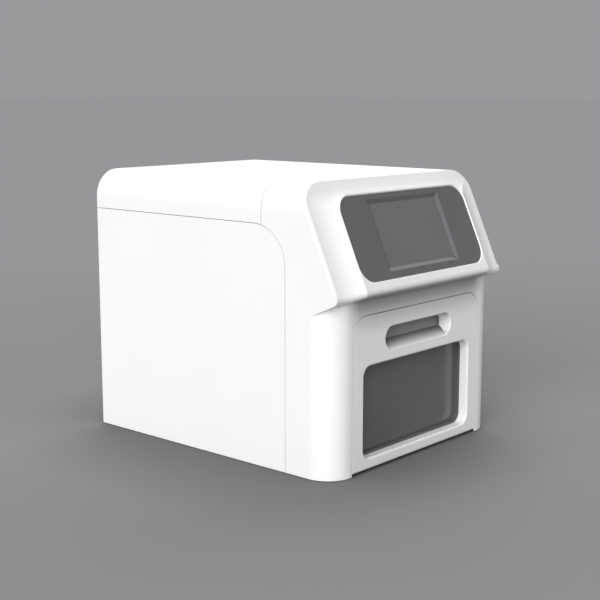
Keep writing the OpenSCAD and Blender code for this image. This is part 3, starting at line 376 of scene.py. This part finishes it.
def skin(bm, rows):
    """A closed surface over a list of equal rings of points."""
    loops = [[bm.verts.new(p) for p in row] for row in rows]
    for a, b in zip(loops, loops[1:]):
        n = len(a)
        for i in range(n):
            bm.faces.new((a[i], a[(i + 1) % n], b[(i + 1) % n], b[i]))
    bm.faces.new(list(reversed(loops[0])))
    bm.faces.new(loops[-1])


def turned(bm, origin, axis, profile, sides, flats=()):
    """A body of revolution from rows of radius and height; the rows in flats are hexagons."""
    turn = Vector(axis).to_track_quat("Z", "Y").to_matrix()
    rows = []
    for k, (radius, height) in enumerate(profile):
        row = []
        for i in range(sides):
            angle = 2 * math.pi * i / sides
            r = radius
            if k in flats:
                off = (angle + HALF_FLAT) % (2 * HALF_FLAT) - HALF_FLAT
                r = radius * math.cos(HALF_FLAT) / math.cos(off)
            at = Vector((r * math.cos(angle), r * math.sin(angle), height))
            row.append(Vector(origin) + turn @ at)
        rows.append(row)
    skin(bm, rows)


def sized(profile, r, h):
    return [(a * r, b * h) for a, b in profile]


def block(bm, low, high):
    """A box between two corners, with small bevels on every edge."""
    made = bmesh.ops.create_cube(bm, size=1.0)["verts"]
    for v in made:
        for k in range(3):
            v.co[k] = low[k] if v.co[k] < 0 else high[k]
    size = min(high[k] - low[k] for k in range(3))
    edges = {e for v in made for e in v.link_edges}
    bmesh.ops.bevel(bm, geom=list(edges), offset=BLOCK_BEVEL * size, segments=2, affect="EDGES")


def screw_head(bm, at, r, h):
    """The head of a screw in the rear, which faces back."""
    turned(bm, at, (0, 1, 0), sized(HEAD_PROFILE, r, h), HEAD_SIDES, HEAD_SOCKET)


def rear_screws():
    low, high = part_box("case_screws")
    r = REAR_HEAD_R
    bm = bmesh.new()
    for x in (low[0] + r, high[0] - r):
        for k in range(REAR_PER_SIDE):
            z = low[2] + r + (high[2] - low[2] - 2 * r) * k / (REAR_PER_SIDE - 1)
            screw_head(bm, (x, low[1], z), r, high[1] - low[1])
    piece("rear_screw_heads", bm, "zinc_steel", "case", "case_screws")


def guard_screws():
    """Screws that hold the fan guard at its four lugs."""
    low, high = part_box("fan_guard")
    x, z = (low[0] + high[0]) / 2, (low[2] + high[2]) / 2
    bm = bmesh.new()
    for sx in (-1, 1):
        for sz in (-1, 1):
            at = (x + sx * GUARD_LUG, high[1] + GUARD_SEAT, z + sz * GUARD_LUG)
            screw_head(bm, at, GUARD_HEAD_R, GUARD_HEAD_H)
    piece("guard_screws", bm, "zinc_steel", "case")


def threaded_screw(node, body, axis, depth):
    """A trapezoidal lead screw in place of the plain rod of the solids."""
    low, high = (Vector(v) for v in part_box(node))
    along = max(range(3), key=lambda k: high[k] - low[k])
    centre = (low + high) / 2
    radius = (high - low)[(along + 1) % 3] / 2
    length = (high - low)[along]
    turn = Vector(axis).to_track_quat("Z", "Y").to_matrix()
    start = centre - Vector(axis) * length / 2
    count = int(length / THREAD_PITCH * THREAD_STEPS)
    rows = []
    for j in range(count + 1):
        h = length * j / count
        end = min(h, length - h)
        cut = depth * min(1.0, end / THREAD_LEAD_IN)
        tip = THREAD_TIP * max(0.0, 1.0 - end / THREAD_TIP)
        row = []
        for i in range(THREAD_SIDES):
            turns = i / THREAD_SIDES
            wave = (h / THREAD_PITCH + turns * THREAD_STARTS) % 1.0
            groove = min(1.0, max(0.0, GROOVE_PEAK - abs(wave - 0.5) * GROOVE_SLOPE))
            r = radius - tip - cut * groove
            a = 2 * math.pi * turns
            row.append(start + turn @ Vector((r * math.cos(a), r * math.sin(a), h)))
        rows.append(row)
    bm = bmesh.new()
    skin(bm, rows)
    piece(node + "_thread", bm, "ground_steel", body, node)


def foot_pads():
    low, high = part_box("rubber_feet")
    profile = sized(FOOT_PROFILE, FOOT_R, high[2])
    bm = bmesh.new()
    for x in (low[0] + FOOT_R, high[0] - FOOT_R):
        for y in (low[1] + FOOT_R, high[1] - FOOT_R):
            turned(bm, (x, y, 0.0), (0, 0, 1), profile, FOOT_SIDES)
    piece("foot_pads", bm, "black_rubber", "case", "rubber_feet")


def inlet_blades():
    """The three blades in the mains socket."""
    low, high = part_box("power_inlet")
    x = (low[0] + high[0]) / 2
    z = (low[2] + high[2]) / 2 - SOCKET_DOWN
    back = high[1] - BLADE_ROOT
    bm = bmesh.new()
    for dx, dz in BLADES:
        block(bm, (x + dx - BLADE_HALF_X, back, z + dz - BLADE_HALF_Z),
              (x + dx + BLADE_HALF_X, back + BLADE_LENGTH, z + dz + BLADE_HALF_Z))
    piece("inlet_blades", bm, "nickel", "case")


def port_insides():
    """Black insulators of the three data sockets, and the network socket's contacts."""
    low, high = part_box("data_ports")
    x, z = (low[0] + high[0]) / 2, (low[2] + high[2]) / 2
    back = high[1] - PORT_DEPTH
    black = bmesh.new()
    for x0, x1, z0, z1, length in PORT_INSULATORS:
        block(black, (x + x0 * MM, back, z + z0 * MM),
              (x + x1 * MM, back + length * MM, z + z1 * MM))
    piece("port_insulators", black, "black_plastic", "case")
    gold = bmesh.new()
    for k in range(CONTACTS):
        at = x + LAN_X + CONTACT_PITCH * (k - (CONTACTS - 1) / 2)
        block(gold, (at - CONTACT_HALF, back + CONTACT_Y[0], z + CONTACT_Z[0]),
              (at + CONTACT_HALF, back + CONTACT_Y[1], z + CONTACT_Z[1]))
    piece("port_contacts", gold, "brass", "case")


def strip_diodes():
    """White diodes along the underside of the chamber light."""
    low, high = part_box("light_strip")
    y = (low[1] + high[1]) / 2
    bm = bmesh.new()
    for k in range(DIODES):
        x = low[0] + (high[0] - low[0]) * (k + 0.5) / DIODES
        block(bm, (x - DIODE_HALF, y - DIODE_HALF, low[2] - DIODE_DROP),
              (x + DIODE_HALF, y + DIODE_HALF, low[2] + DIODE_SUNK))
    piece("strip_diodes", bm, "lamp_glass", "case")


rear_screws()
guard_screws()
foot_pads()
threaded_screw("lift_screw", "lift_drive", (0, 0, 1), 0.55 * MM)
threaded_screw("rod_screw", "rod_drive", (0, 0, 1), 0.4 * MM)
threaded_screw("tray_screw", "tray_drive", (0, 1, 0), 0.4 * MM)
inlet_blades()
port_insides()
strip_diodes()


# ---------- stage, light and camera ----------

# The floor's grey near the case and far from it, and the distances where each is reached
NEAR_GREY = (0.262, 0.260, 0.268)
FAR_GREY = (0.286, 0.283, 0.296)
FLOOR_NEAR = 0.5
FLOOR_FAR = 2.2
FLOOR_HALF = 60.0
FLOOR_NOISE = {"scale": 0.8, "detail": 2.0, "rough": 0.55}
FLOOR_CLOUD = 0.02
FLOOR_ROUGH = 0.9

# Each sun's place as seen from the object, whose distance is the light that a white card
# facing it gets, and its width in degrees
SUNS = {
    "key": ((-0.96, -0.44, 0.44), 62),
    "zenith": ((0.0, -0.02, 0.08), 60),
    "rear_top": ((0.32, 0.20, 0.31), 60),
}
SKY_LIGHT = 0.25
SKY_SEEN = (0.325, 0.322, 0.337)

# Fitted to the straight edges of the case in the photograph; angles in degrees
CAMERA_SENSOR = 36.0
CAMERA_LENS = 72.13
CAMERA_AT = (-1.3764, -1.2057, 0.5210)
CAMERA_TILT = 80.056
CAMERA_TURN = -48.745


def stage_floor():
    mesh = bpy.data.meshes.new("floor")
    bm = bmesh.new()
    for x, y in ((-1, -1), (1, -1), (1, 1), (-1, 1)):
        bm.verts.new((x * FLOOR_HALF, y * FLOOR_HALF, 0))
    bm.faces.new(bm.verts)
    bm.to_mesh(mesh)
    bm.free()
    obj = bpy.data.objects.new("floor", mesh)
    bpy.context.scene.collection.objects.link(obj)
    mat, tree, bsdf = new_material("floor_grey")
    coords = stretched(tree, (1, 1, 1))
    cloud = noise(tree, coords, **FLOOR_NOISE)
    away = tree.nodes.new("ShaderNodeVectorMath")
    away.operation = "LENGTH"
    tree.links.new(coords, away.inputs[0])
    far = remap(tree, away.outputs["Value"], 0.0, 1.0, FLOOR_NEAR, FLOOR_FAR)
    tone = tree.nodes.new("ShaderNodeMath")
    tone.operation = "MULTIPLY_ADD"
    tree.links.new(cloud, tone.inputs[0])
    tone.inputs[1].default_value = FLOOR_CLOUD
    tree.links.new(far, tone.inputs[2])
    grey = ramp(tree, tone.outputs["Value"], [(0.0, NEAR_GREY), (1.0, FAR_GREY)])
    # The floor's grey takes a painted contact shadow where the case closes it in
    tree.links.new(scaled(tree, grey, painted_occlusion_shade(tree, **FLOOR_PAINTED_SHADOW)), bsdf.inputs["Base Color"])
    bsdf.inputs["Roughness"].default_value = FLOOR_ROUGH
    bsdf.inputs["Specular IOR Level"].default_value = 0.0
    mesh.materials.append(mat)


def sun(name, place, width):
    data = bpy.data.lights.new(name, "SUN")
    data.energy = Vector(place).length * math.pi
    data.angle = math.radians(width)
    obj = bpy.data.objects.new(name, data)
    obj.rotation_euler = Vector(place).to_track_quat("Z", "Y").to_euler()
    bpy.context.scene.collection.objects.link(obj)


def world_light():
    """An even sky, which the camera, mirrors and glass see in the backdrop's grey."""
    world = bpy.data.worlds.new("studio")
    bpy.context.scene.world = world
    world.use_nodes = True
    tree = world.node_tree
    tree.nodes.clear()
    light = tree.nodes.new("ShaderNodeBackground")
    light.inputs["Color"].default_value = (1.0, 1.0, 1.0, 1.0)
    light.inputs["Strength"].default_value = SKY_LIGHT
    back = tree.nodes.new("ShaderNodeBackground")
    back.inputs["Color"].default_value = (*SKY_SEEN, 1.0)
    back.inputs["Strength"].default_value = 1.0
    path = tree.nodes.new("ShaderNodeLightPath")
    seen_by = path.outputs["Is Camera Ray"]
    for ray in ("Is Glossy Ray", "Is Transmission Ray"):
        either = tree.nodes.new("ShaderNodeMath")
        either.operation = "MAXIMUM"
        tree.links.new(seen_by, either.inputs[0])
        tree.links.new(path.outputs[ray], either.inputs[1])
        seen_by = either.outputs["Value"]
    mix = tree.nodes.new("ShaderNodeMixShader")
    out = tree.nodes.new("ShaderNodeOutputWorld")
    tree.links.new(seen_by, mix.inputs[0])
    tree.links.new(light.outputs[0], mix.inputs[1])
    tree.links.new(back.outputs[0], mix.inputs[2])
    tree.links.new(mix.outputs[0], out.inputs["Surface"])


def photo_camera():
    data = bpy.data.cameras.new("camera")
    data.sensor_width = CAMERA_SENSOR
    data.lens = CAMERA_LENS
    obj = bpy.data.objects.new("camera", data)
    obj.location = CAMERA_AT
    obj.rotation_euler = (math.radians(CAMERA_TILT), 0.0, math.radians(CAMERA_TURN))
    bpy.context.scene.collection.objects.link(obj)
    bpy.context.scene.camera = obj


stage_floor()
for name, (place, width) in SUNS.items():
    sun(name, place, width)
world_light()
photo_camera()
bpy.context.scene.view_settings.view_transform = "Standard"
